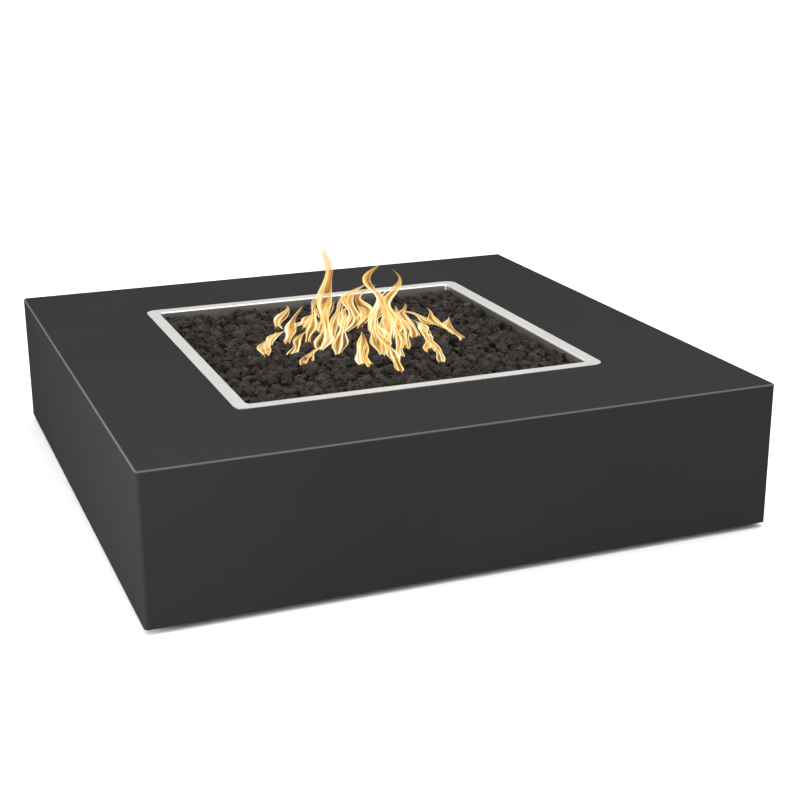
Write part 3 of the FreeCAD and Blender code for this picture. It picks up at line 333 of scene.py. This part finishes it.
class Tree:
    """A Geometry Nodes tree with named inputs, run once on a mesh and left as plain mesh."""

    def __init__(self, name):
        self.tree = bpy.data.node_groups.new(name, "GeometryNodeTree")
        self.tree.interface.new_socket("Geometry", in_out="INPUT", socket_type="NodeSocketGeometry")
        self.tree.interface.new_socket("Geometry", in_out="OUTPUT", socket_type="NodeSocketGeometry")
        self.entry = self.tree.nodes.new("NodeGroupInput")
        self.values = {}

    def size(self, name, kind, value):
        """A named input and the value that it is given."""
        socket = self.tree.interface.new_socket(name, in_out="INPUT", socket_type="NodeSocket" + kind)
        self.values[socket.identifier] = value
        return self.entry.outputs[name]

    def add(self, kind, inputs=None, **settings):
        """A new node of this tree, with its settings and inputs."""
        return add(self.tree, kind, inputs, **settings)

    def maths(self, operation, first, second=0.0):
        """A sum on two numbers or outputs."""
        return maths(self.tree, operation, first, second)

    def vector(self, x, y, z):
        """Three numbers or outputs as one vector."""
        return self.add("ShaderNodeCombineXYZ", {"X": x, "Y": y, "Z": z}).outputs[0]

    def vector_maths(self, operation, first, second):
        """A sum on two vectors."""
        return self.add("ShaderNodeVectorMath", {0: first, 1: second}, operation=operation).outputs[0]

    def position(self):
        """Each point's own place."""
        return self.add("GeometryNodeInputPosition").outputs[0]

    def chance(self, low, high, seed):
        """A random vector for each point, between two vectors."""
        inputs = {0: low, 1: high, "Seed": seed}
        return self.add("FunctionNodeRandomValue", inputs, data_type="FLOAT_VECTOR").outputs[0]

    def copies(self, points, instance, **inputs):
        """A copy at each point, left as instances."""
        inputs = {"Points": points, "Instance": instance, **inputs}
        return self.add("GeometryNodeInstanceOnPoints", inputs).outputs[0]

    def real(self, geometry):
        """Instances made real."""
        return self.add("GeometryNodeRealizeInstances", {"Geometry": geometry}).outputs[0]

    def shift(self, geometry, offset):
        """Move every point by an offset."""
        return self.add("GeometryNodeSetPosition", {"Geometry": geometry, "Offset": offset}).outputs[0]

    def finish(self, geometry, material):
        """Instances made real, and the material set."""
        inputs = {"Geometry": self.real(geometry), "Material": material}
        coated = self.add("GeometryNodeSetMaterial", inputs).outputs[0]
        leave = self.tree.nodes.new("NodeGroupOutput")
        self.tree.links.new(coated, leave.inputs[0])

    def run(self, name, start):
        """The tree's result on the start object, as a plain mesh object of that name."""
        modifier = start.modifiers.new("shape", "NODES")
        modifier.node_group = self.tree
        for identifier, value in self.values.items():
            modifier[identifier] = value
        graph = bpy.context.evaluated_depsgraph_get()
        mesh = bpy.data.meshes.new_from_object(start.evaluated_get(graph))
        bpy.data.objects.remove(start)
        piece = bpy.data.objects.new(name, mesh)
        bpy.context.scene.collection.objects.link(piece)
        return piece


def empty_mesh(name):
    """An object with no faces, for a tree to start from."""
    start = bpy.data.objects.new(name, bpy.data.meshes.new(name))
    bpy.context.scene.collection.objects.link(start)
    return start


def stacked_grids(tree, reach, pitch, count, low, rise):
    """Layers of grid points, each layer half a step along from the one below."""
    steps = tree.maths("ROUND", tree.maths("DIVIDE", reach, pitch))
    sizes = {"Size X": reach, "Size Y": reach, "Vertices X": steps, "Vertices Y": steps}
    grid = tree.add("GeometryNodeMeshGrid", sizes).outputs["Mesh"]
    half_step = tree.maths("MULTIPLY", pitch, 0.5)
    gaps = tree.maths("SUBTRACT", count, 1.0)
    start = tree.maths("MULTIPLY", tree.maths("MULTIPLY", half_step, gaps), -0.5)
    step = tree.vector(half_step, half_step, rise)
    way = {"Count": count, "Start Location": tree.vector(start, start, low), "Offset": step}
    line = tree.add("GeometryNodeMeshLine", way).outputs[0]
    return tree.real(tree.copies(line, grid))


def loosened(tree, points, pitch, seed):
    """The points thrown off their grid, by about a third of a step in plan and a little in height."""
    jitter = tree.maths("MULTIPLY", pitch, 0.34)
    back = tree.maths("MULTIPLY", jitter, -1.0)
    lowest = tree.vector(back, back, tree.maths("MULTIPLY", back, 0.35))
    highest = tree.vector(jitter, jitter, tree.maths("MULTIPLY", jitter, 0.35))
    return tree.shift(points, tree.chance(lowest, highest, seed))


def heaped(tree, points, crown):
    """The points raised towards the fire's middle, from the heap's foot to its top."""
    foot, top = 0.34, 0.18
    flat = tree.vector_maths("MULTIPLY", tree.position(), (1, 1, 0))
    out = tree.add("ShaderNodeVectorMath", {0: flat}, operation="LENGTH").outputs["Value"]
    return tree.shift(points, tree.vector(0, 0, ease(tree.tree, out, foot, top, 0.0, crown)))


def clear_of(tree, points, neighbour, room):
    """The points that leave that much room to a neighbouring piece."""
    solid = tree.add("GeometryNodeObjectInfo", {"Object": neighbour}).outputs["Geometry"]
    near = tree.add("GeometryNodeProximity", {0: solid}).outputs["Distance"]
    hit = tree.add("FunctionNodeCompare", {0: near, 1: room}, operation="LESS_THAN").outputs[0]
    return tree.add("GeometryNodeDeleteGeometry", {"Geometry": points, "Selection": hit}).outputs[0]


def lumps_on(tree, points, radius, detail, seed):
    """A lump on each point, with its own turn, size and shade."""
    lump = tree.add("GeometryNodeMeshIcoSphere", {"Radius": radius, "Subdivisions": detail}).outputs["Mesh"]
    turn = tree.chance((0, 0, 0), (math.tau, math.tau, math.tau), seed)
    grow = tree.chance((0.60, 0.60, 0.60), (1.45, 1.45, 1.15), seed)
    lumps = tree.copies(points, lump, Rotation=turn, Scale=grow)
    shade = tree.add("FunctionNodeRandomValue", {2: -0.12, 3: 0.22, "Seed": seed}).outputs[1]
    inputs = {"Geometry": lumps, "Name": "rock_shade", "Value": shade}
    shaded = tree.add("GeometryNodeStoreNamedAttribute", inputs, data_type="FLOAT", domain="INSTANCE")
    return tree.real(shaded.outputs[0])


def broken(tree, lumps, crag):
    """The lumps broken up: each corner thrown one way or another."""
    rough = tree.add("ShaderNodeTexNoise", {"Scale": 110.0, "Detail": 3.0, "Roughness": 0.7}).outputs["Color"]
    centred = tree.vector_maths("SUBTRACT", rough, (0.5, 0.5, 0.5))
    throw = tree.add("ShaderNodeVectorMath", {0: centred, "Scale": crag}, operation="SCALE").outputs[0]
    return tree.shift(lumps, throw)


def kept_in_pan(tree, rocks, span, skin):
    """The rocks stopped a skin short of the pan's walls and floor."""
    inside = tree.maths("SUBTRACT", tree.maths("MULTIPLY", span, 0.5), skin)
    outside = tree.maths("MULTIPLY", inside, -1.0)
    floor = tree.maths("ADD", ROCK_LOW.z, skin)
    walls = tree.vector_maths("MINIMUM", tree.position(), tree.vector(inside, inside, 1.0))
    held = tree.vector_maths("MAXIMUM", walls, tree.vector(outside, outside, floor))
    return tree.add("GeometryNodeSetPosition", {"Geometry": rocks, "Position": held}).outputs[0]


def rock_layers(name, finish, lowest, layers, size, detail, seed):
    """Layers of loose rock over the whole pan: lumps on a jittered grid, each broken up its own way.

    They stop at the pan's walls and floor, and leave room for the burner tubes.
    """
    tree = Tree("loose_rock")
    span = tree.size("Span", "Float", ROCK_HIGH.x - ROCK_LOW.x)
    pitch = tree.size("Pitch", "Float", 1.7 * size)
    radius = tree.size("Rock Radius", "Float", size)
    low = tree.size("Lowest Layer", "Float", lowest)
    rise = tree.size("Layer Rise", "Float", 0.0110)
    count = tree.size("Layers", "Int", layers)
    crown = tree.size("Crown", "Float", 0.007)
    chosen = tree.size("Seed", "Int", seed)
    burner = tree.size("Burner", "Object", frame["nodes"]["double_ring_burner"])
    room = tree.size("Burner Room", "Float", 0.0075)
    crag = tree.size("Crag", "Float", 0.034)
    skin = tree.size("Skin", "Float", 0.0005)
    material = tree.size("Finish", "Material", finish)

    reach = tree.maths("SUBTRACT", span, tree.maths("MULTIPLY", radius, 2.0))
    spots = stacked_grids(tree, reach, pitch, count, low, rise)
    spots = loosened(tree, spots, pitch, chosen)
    spots = heaped(tree, spots, crown)
    spots = clear_of(tree, spots, burner, room)
    rocks = broken(tree, lumps_on(tree, spots, radius, detail, chosen), crag)
    tree.finish(kept_in_pan(tree, rocks, span, skin), material)
    rocks = tree.run(name, empty_mesh(name))
    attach(rocks, "pan")
    return rocks


def make_rocks(finish):
    """Large rocks on top, and smaller ones below that close the gaps between them."""
    top_layer = ROCK_HIGH.z - 0.0165
    floor_layer = ROCK_LOW.z + 0.0105
    top = rock_layers("lava_rock_top", finish, lowest=top_layer, layers=1, size=0.0148, detail=2, seed=4)
    rock_layers("lava_rock_below", finish, lowest=floor_layer, layers=3, size=0.0125, detail=1, seed=9)
    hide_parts("lava_rock_bed")


# ---------------------------------------------------------------- gas hose

# The hose's way, from its nut on the valve, down and along the floor, and up under the burner.
# The second point and the last but one lead it straight out of its nuts.
HOSE_ROUTE = (
    (0.2317, 0.6135, 0.150), (0.2020, 0.6135, 0.150), (0.1437, 0.6135, 0.150), (0.0765, 0.5644, 0.120),
    (0.0348, 0.4785, 0.085), (0.0116, 0.3804, 0.055), (-0.0046, 0.2822, 0.040), (0.0, 0.1779, 0.032),
    (0.0, 0.0614, 0.036), (0.0, 0.0, 0.096), (0.0, 0.0, 0.157), (0.0, 0.0, 0.1867),
)


def hose_line():
    """One smooth line through the hose's middle."""
    data = bpy.data.curves.new("hose_line", "CURVE")
    data.dimensions = "3D"
    data.resolution_u = 24
    spline = data.splines.new("NURBS")
    spline.points.add(len(HOSE_ROUTE) - 1)
    for point, place in zip(spline.points, HOSE_ROUTE):
        point.co = (*place, 1)
    spline.order_u = 3
    spline.use_endpoint_u = True
    line = bpy.data.objects.new("hose_line", data)
    bpy.context.scene.collection.objects.link(line)
    return line


def make_hose(finish):
    """A corrugated stainless hose, ribbed from nut to nut."""
    line = hose_line()
    tree = Tree("corrugated_hose")
    way = tree.size("Line", "Object", line)
    pitch = tree.size("Rib Pitch", "Float", 0.0032)
    middle = tree.size("Middle Radius", "Float", 0.00675)
    depth = tree.size("Rib Depth", "Float", 0.00075)
    material = tree.size("Finish", "Material", finish)
    curve = tree.add("GeometryNodeObjectInfo", {"Object": way}).outputs["Geometry"]
    step = tree.maths("DIVIDE", pitch, 4.0)
    even = tree.add("GeometryNodeResampleCurve", {"Curve": curve, "Length": step}, mode="LENGTH").outputs[0]
    quarter = tree.add("GeometryNodeInputIndex").outputs[0]
    wave = tree.maths("COSINE", tree.maths("MULTIPLY", quarter, math.pi / 2))
    radius = tree.maths("ADD", middle, tree.maths("MULTIPLY", wave, depth))
    ring = tree.add("GeometryNodeCurvePrimitiveCircle", {"Resolution": 20, "Radius": 1.0}).outputs[0]
    inputs = {"Curve": even, "Profile Curve": ring, "Scale": radius, "Fill Caps": True}
    tube = tree.add("GeometryNodeCurveToMesh", inputs).outputs[0]
    smooth = tree.add("GeometryNodeSetShadeSmooth", {"Geometry": tube}).outputs[0]
    tree.finish(smooth, material)
    hose = tree.run("corrugated_hose", empty_mesh("corrugated_hose"))
    bpy.data.objects.remove(line)
    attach(hose, "shell")
    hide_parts("gas_hose")


# ---------------------------------------------------------------- flames

FLAME_SEED = 11
# Rings of tongues from the outside in: the share of the burner's ring, how many, their height and width.
FLAME_RINGS = (
    (1.00, 13, 0.062, 0.027), (0.80, 9, 0.078, 0.032), (0.55, 9, 0.100, 0.034), (0.30, 4, 0.110, 0.030),
)
# The tallest tongues, off the fire's axis: the angle that each stands at, and its height.
TALL_FLAMES = ((2.4, 0.272), (0.9, 0.185), (0.1, 0.172), (1.7, 0.150))
TALL_REACH = 0.085
TALL_WIDTH = 0.034
PORT_INSET = 0.008  # from the burner ring's outside to its ports
FLAME_ROOT = 0.012  # the tongues start this far down among the rocks


def flame_thickness(tree, streaks, rim, across, along, height):
    """How dense a flame sheet is: streaky in its middle, dense at its rims, and soft at every edge."""
    middle = maths(tree, "MULTIPLY_ADD", streaks, 0.50, 0.16)
    thick = maths(tree, "MAXIMUM", middle, maths(tree, "MULTIPLY", rim, 0.95))
    soft = ease(tree, across, 1.0, 0.84)
    foot = ease(tree, along, 0.0, 0.10, 0.15, 1.0)
    tip = ease(tree, along, 1.0, 0.80, 0.45, 1.0)
    fading = ease(tree, height, 0.46, 0.56, 1.0, 0.70)
    for fade in (soft, foot, tip, fading):
        thick = maths(tree, "MULTIPLY", thick, fade)
    return thick


def flame_glow(tree, streaks, rim, height):
    """A flame's light: amber, gold and pale yellow, cooler towards the tips of the tall ones."""
    hot = maths(tree, "MULTIPLY_ADD", rim, 0.55, maths(tree, "MULTIPLY", streaks, 0.40))
    hot = maths(tree, "MULTIPLY", hot, ease(tree, height, 0.36, 0.50, 1.0, 0.55))
    tones = [(0.0, (0.95, 0.34, 0.05)), (0.30, (1.0, 0.52, 0.12)), (0.60, (1.0, 0.76, 0.32)),
             (0.90, (1.0, 0.92, 0.60))]
    inputs = {"Color": shades(tree, hot, tones), "Strength": ease(tree, hot, 0.0, 1.0, 0.85, 1.55)}
    return add(tree, "ShaderNodeEmission", inputs).outputs[0]


def flame_finish():
    """A flame sheet: golden and streaky in its middle, dense and pale along its rims, soft at its edge."""
    material = bpy.data.materials.new("gas_flame")
    material.use_nodes = True
    material.cycles.emission_sampling = "NONE"
    tree = material.node_tree
    tree.nodes.clear()
    flow = add(tree, "ShaderNodeUVMap", uv_map="flow").outputs["UV"]
    spot = add(tree, "ShaderNodeSeparateXYZ", {0: flow})
    across = maths(tree, "ABSOLUTE", maths(tree, "MULTIPLY_ADD", spot.outputs["X"], 2.0, -1.0))
    place = add(tree, "ShaderNodeTexCoord").outputs["Object"]
    height = add(tree, "ShaderNodeSeparateXYZ", {0: place}).outputs["Z"]
    lengthwise = add(tree, "ShaderNodeMapping", {"Vector": flow, "Scale": (4.2, 2.2, 1.0)}).outputs[0]
    stretch = {0: place, 1: (22.0, 22.0, 8.0), 2: lengthwise}
    drawn = add(tree, "ShaderNodeVectorMath", stretch, operation="MULTIPLY_ADD").outputs[0]
    noise = add(tree, "ShaderNodeTexNoise", {"Vector": drawn, "Scale": 1.0, "Detail": 1.5}).outputs[0]
    streaks = ease(tree, noise, 0.34, 0.66)
    rim = ease(tree, across, 0.42, 0.86)
    thick = flame_thickness(tree, streaks, rim, across, spot.outputs["Y"], height)
    clear = add(tree, "ShaderNodeBsdfTransparent").outputs[0]
    glow = flame_glow(tree, streaks, rim, height)
    flame = add(tree, "ShaderNodeMixShader", {0: thick, 1: clear, 2: glow}).outputs[0]
    add(tree, "ShaderNodeOutputMaterial", {"Surface": flame})
    return material


def sheet_of_flame(mesh_data, spine, widths, turn, twist, hollow):
    """A ribbon along a spine, cupped, that turns by its twist on the way up."""
    points, faces, flow = mesh_data
    columns = 9
    first = len(points)
    last = len(spine) - 1
    for row, (spot, width) in enumerate(zip(spine, widths)):
        angle = turn + twist * row / last
        across = Vector((math.cos(angle), math.sin(angle), 0))
        through = Vector((-math.sin(angle), math.cos(angle), 0))
        for column in range(columns):
            side = 2 * column / (columns - 1) - 1
            points.append(spot + 0.5 * width * (side * across + hollow * (1 - side ** 2) * through))
            flow.append((column / (columns - 1), row / last))
    for row in range(last):
        for column in range(columns - 1):
            corner = first + row * columns + column
            faces.append((corner, corner + 1, corner + columns + 1, corner + columns))


def grow_tongue(mesh_data, rng, foot, height, width):
    """One tongue: drawn in to the fire's axis as it rises, swaying, pinched and swollen by turns."""
    rows = 26
    pull = rng.uniform(0.10, 0.50)
    phase, pinch, heading = (rng.uniform(0, math.tau) for draw in range(3))
    sway = rng.uniform(0.12, 0.20) * height
    waves = 1.0 + 3.0 * height
    spine = []
    widths = []
    for row in range(rows):
        t = row / (rows - 1)
        drift = sway * t ** 0.6 * (math.sin(waves * math.tau * t + phase) - math.sin(phase))
        level = Vector((foot.x * (1 - pull * t ** 1.3), foot.y * (1 - pull * t ** 1.3), foot.z))
        spine.append(level + Vector((drift * math.cos(heading), drift * math.sin(heading), height * t)))
        belly = math.sin(math.pi * (0.02 + 0.98 * t) ** 0.8)
        widths.append(width * belly * (1 + 0.35 * math.sin(1.5 * waves * math.tau * t + pinch)) + 0.001)
    turn = rng.uniform(0, math.pi)
    twist = rng.uniform(-1.2, 1.2)
    for quarter in (0, math.pi / 2):
        sheet_of_flame(mesh_data, spine, widths, turn + quarter, twist, rng.choice((-0.5, 0.5)))


def foot_at(angle, reach):
    """Where a tongue stands, at an angle and a reach from the fire's axis."""
    return Vector((reach * math.cos(angle), reach * math.sin(angle), ROCK_HIGH.z - FLAME_ROOT))


def grow_fire():
    """All tongues: the rings of short ones, then the tallest."""
    rng = random.Random(FLAME_SEED)
    mesh_data = ([], [], [])
    burner_low, burner_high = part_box("double_ring_burner")
    outer_ring = 0.5 * (burner_high.x - burner_low.x) - PORT_INSET
    for share, count, height, width in FLAME_RINGS:
        for number in range(count):
            angle = math.tau * (number + rng.uniform(-0.35, 0.35)) / count
            foot = foot_at(angle, share * outer_ring * rng.uniform(0.90, 1.04))
            size = rng.uniform(0.65, 1.25)
            grow_tongue(mesh_data, rng, foot, size * height, width * rng.uniform(0.75, 1.15))
    for angle, height in TALL_FLAMES:
        grow_tongue(mesh_data, rng, foot_at(angle, TALL_REACH), height, TALL_WIDTH)
    return mesh_data


def make_flames():
    """Flames over the burner's rings, which aren't part of the object."""
    points, faces, flow = grow_fire()
    mesh = bpy.data.meshes.new("flames")
    mesh.from_pydata(points, [], faces)
    layer = mesh.uv_layers.new(name="flow")
    for loop in mesh.loops:
        layer.data[loop.index].uv = flow[loop.vertex_index]
    mesh.shade_smooth()
    mesh.materials.append(flame_finish())
    flames = bpy.data.objects.new("flames", mesh)
    bpy.context.scene.collection.objects.link(flames)
    flames.parent = frame["bodies"]["pan"]
    flames.visible_diffuse = False
    flames.visible_shadow = False
    # a line of sight crosses many sheets
    bpy.context.scene.cycles.transparent_max_bounces = 64


# ---------------------------------------------------------------- floor, light and camera

def make_floor():
    """A pale floor, wide enough to fill the view."""
    reach = 60.0
    level = CAD_BOX[0].z
    mesh = bpy.data.meshes.new("floor")
    corners = [(-reach, -reach, level), (reach, -reach, level), (reach, reach, level), (-reach, reach, level)]
    mesh.from_pydata(corners, [], [(0, 1, 2, 3)])
    material, tree, shader = new_finish("pale_floor")
    tone = (0.86, 0.86, 0.86, 1)
    set_inputs(tree, shader, {"Base Color": tone, "Roughness": 1.0, "Specular IOR Level": 0.0})
    mesh.materials.append(material)
    floor = bpy.data.objects.new("floor", mesh)
    bpy.context.scene.collection.objects.link(floor)


def make_sky():
    """Soft light from all round: bright overhead and dim at the horizon."""
    world = bpy.data.worlds.new("studio")
    bpy.context.scene.world = world
    world.use_nodes = True
    tree = world.node_tree
    background = tree.nodes["Background"]
    direction = add(tree, "ShaderNodeTexCoord").outputs["Generated"]
    height = add(tree, "ShaderNodeSeparateXYZ", {0: direction}).outputs["Z"]
    level = between(tree, height, 0.45, 2.1, start=0.10, end=0.85)
    lit = add(tree, "ShaderNodeLightPath").outputs["Is Camera Ray"]
    seen = add(tree, "ShaderNodeMix", {"Factor": lit, 2: level, 3: 1.0}, data_type="FLOAT").outputs[0]
    set_inputs(tree, background, {"Color": (1.0, 1.0, 1.0, 1), "Strength": seen})


def make_camera():
    """The camera stands off the near left corner, a little under three widths away, looking down on it."""
    width = SHELL_HIGH.x - SHELL_LOW.x
    place = SHELL_LOW + Vector((-0.346, -1.811, 0.924)) * width
    azimuth, drop, roll = (math.radians(angle) for angle in (68.31, 18.20, 0.25))
    forward = Vector((
        math.cos(drop) * math.cos(azimuth), math.cos(drop) * math.sin(azimuth), -math.sin(drop),
    ))
    level = Vector((math.sin(azimuth), -math.cos(azimuth), 0))
    down = forward.cross(level)
    right = math.cos(roll) * level + math.sin(roll) * down
    up = -(math.cos(roll) * down - math.sin(roll) * level)
    data = bpy.data.cameras.new("camera")
    data.sensor_width = 36
    data.lens = 66.56
    data.clip_start = 0.05
    data.clip_end = 300
    camera = bpy.data.objects.new("camera", data)
    bpy.context.scene.collection.objects.link(camera)
    turn = Matrix((right, up, -forward)).transposed()
    camera.matrix_world = Matrix.Translation(place) @ turn.to_4x4()
    bpy.context.scene.camera = camera


def add_lamp(name, kind, place, energy, colour=(1, 1, 1), **settings):
    """A lamp at a place, aimed at the pit's middle."""
    data = bpy.data.lights.new(name, kind)
    data.energy = energy
    data.color = colour
    for setting, value in settings.items():
        setattr(data, setting, value)
    lamp = bpy.data.objects.new(name, data)
    bpy.context.scene.collection.objects.link(lamp)
    lamp.location = place
    lamp.rotation_euler = (-lamp.location).to_track_quat("-Z", "Y").to_euler()
    return lamp


def make_lamps():
    """A soft box overhead, a soft box low on the left, and the flames' own glow."""
    add_lamp("soft_box", "AREA", (0.6, -0.6, 3.2), 30, shape="RECTANGLE", size=1.8, size_y=1.2)
    add_lamp("side_box", "AREA", (-2.6, -0.9, 0.55), 55, shape="RECTANGLE", size=1.2, size_y=0.7)
    for side in (-0.10, 0.09):
        lamp = add_lamp("flame_glow", "POINT", (side, 0.02, PAN_HIGH.z + 0.05), 0.7, colour=(1.0, 0.58, 0.26),
                        shadow_soft_size=0.06)
        lamp.visible_glossy = False
        lamp.parent = frame["bodies"]["pan"]


bpy.context.scene.view_settings.view_transform = "Standard"
finishes = make_finishes()
dress_nodes(finishes)
make_rocks(finishes["lava_rock"])
make_hose(finishes["hose_steel"])
make_flames()
make_floor()
make_sky()
make_lamps()
make_camera()
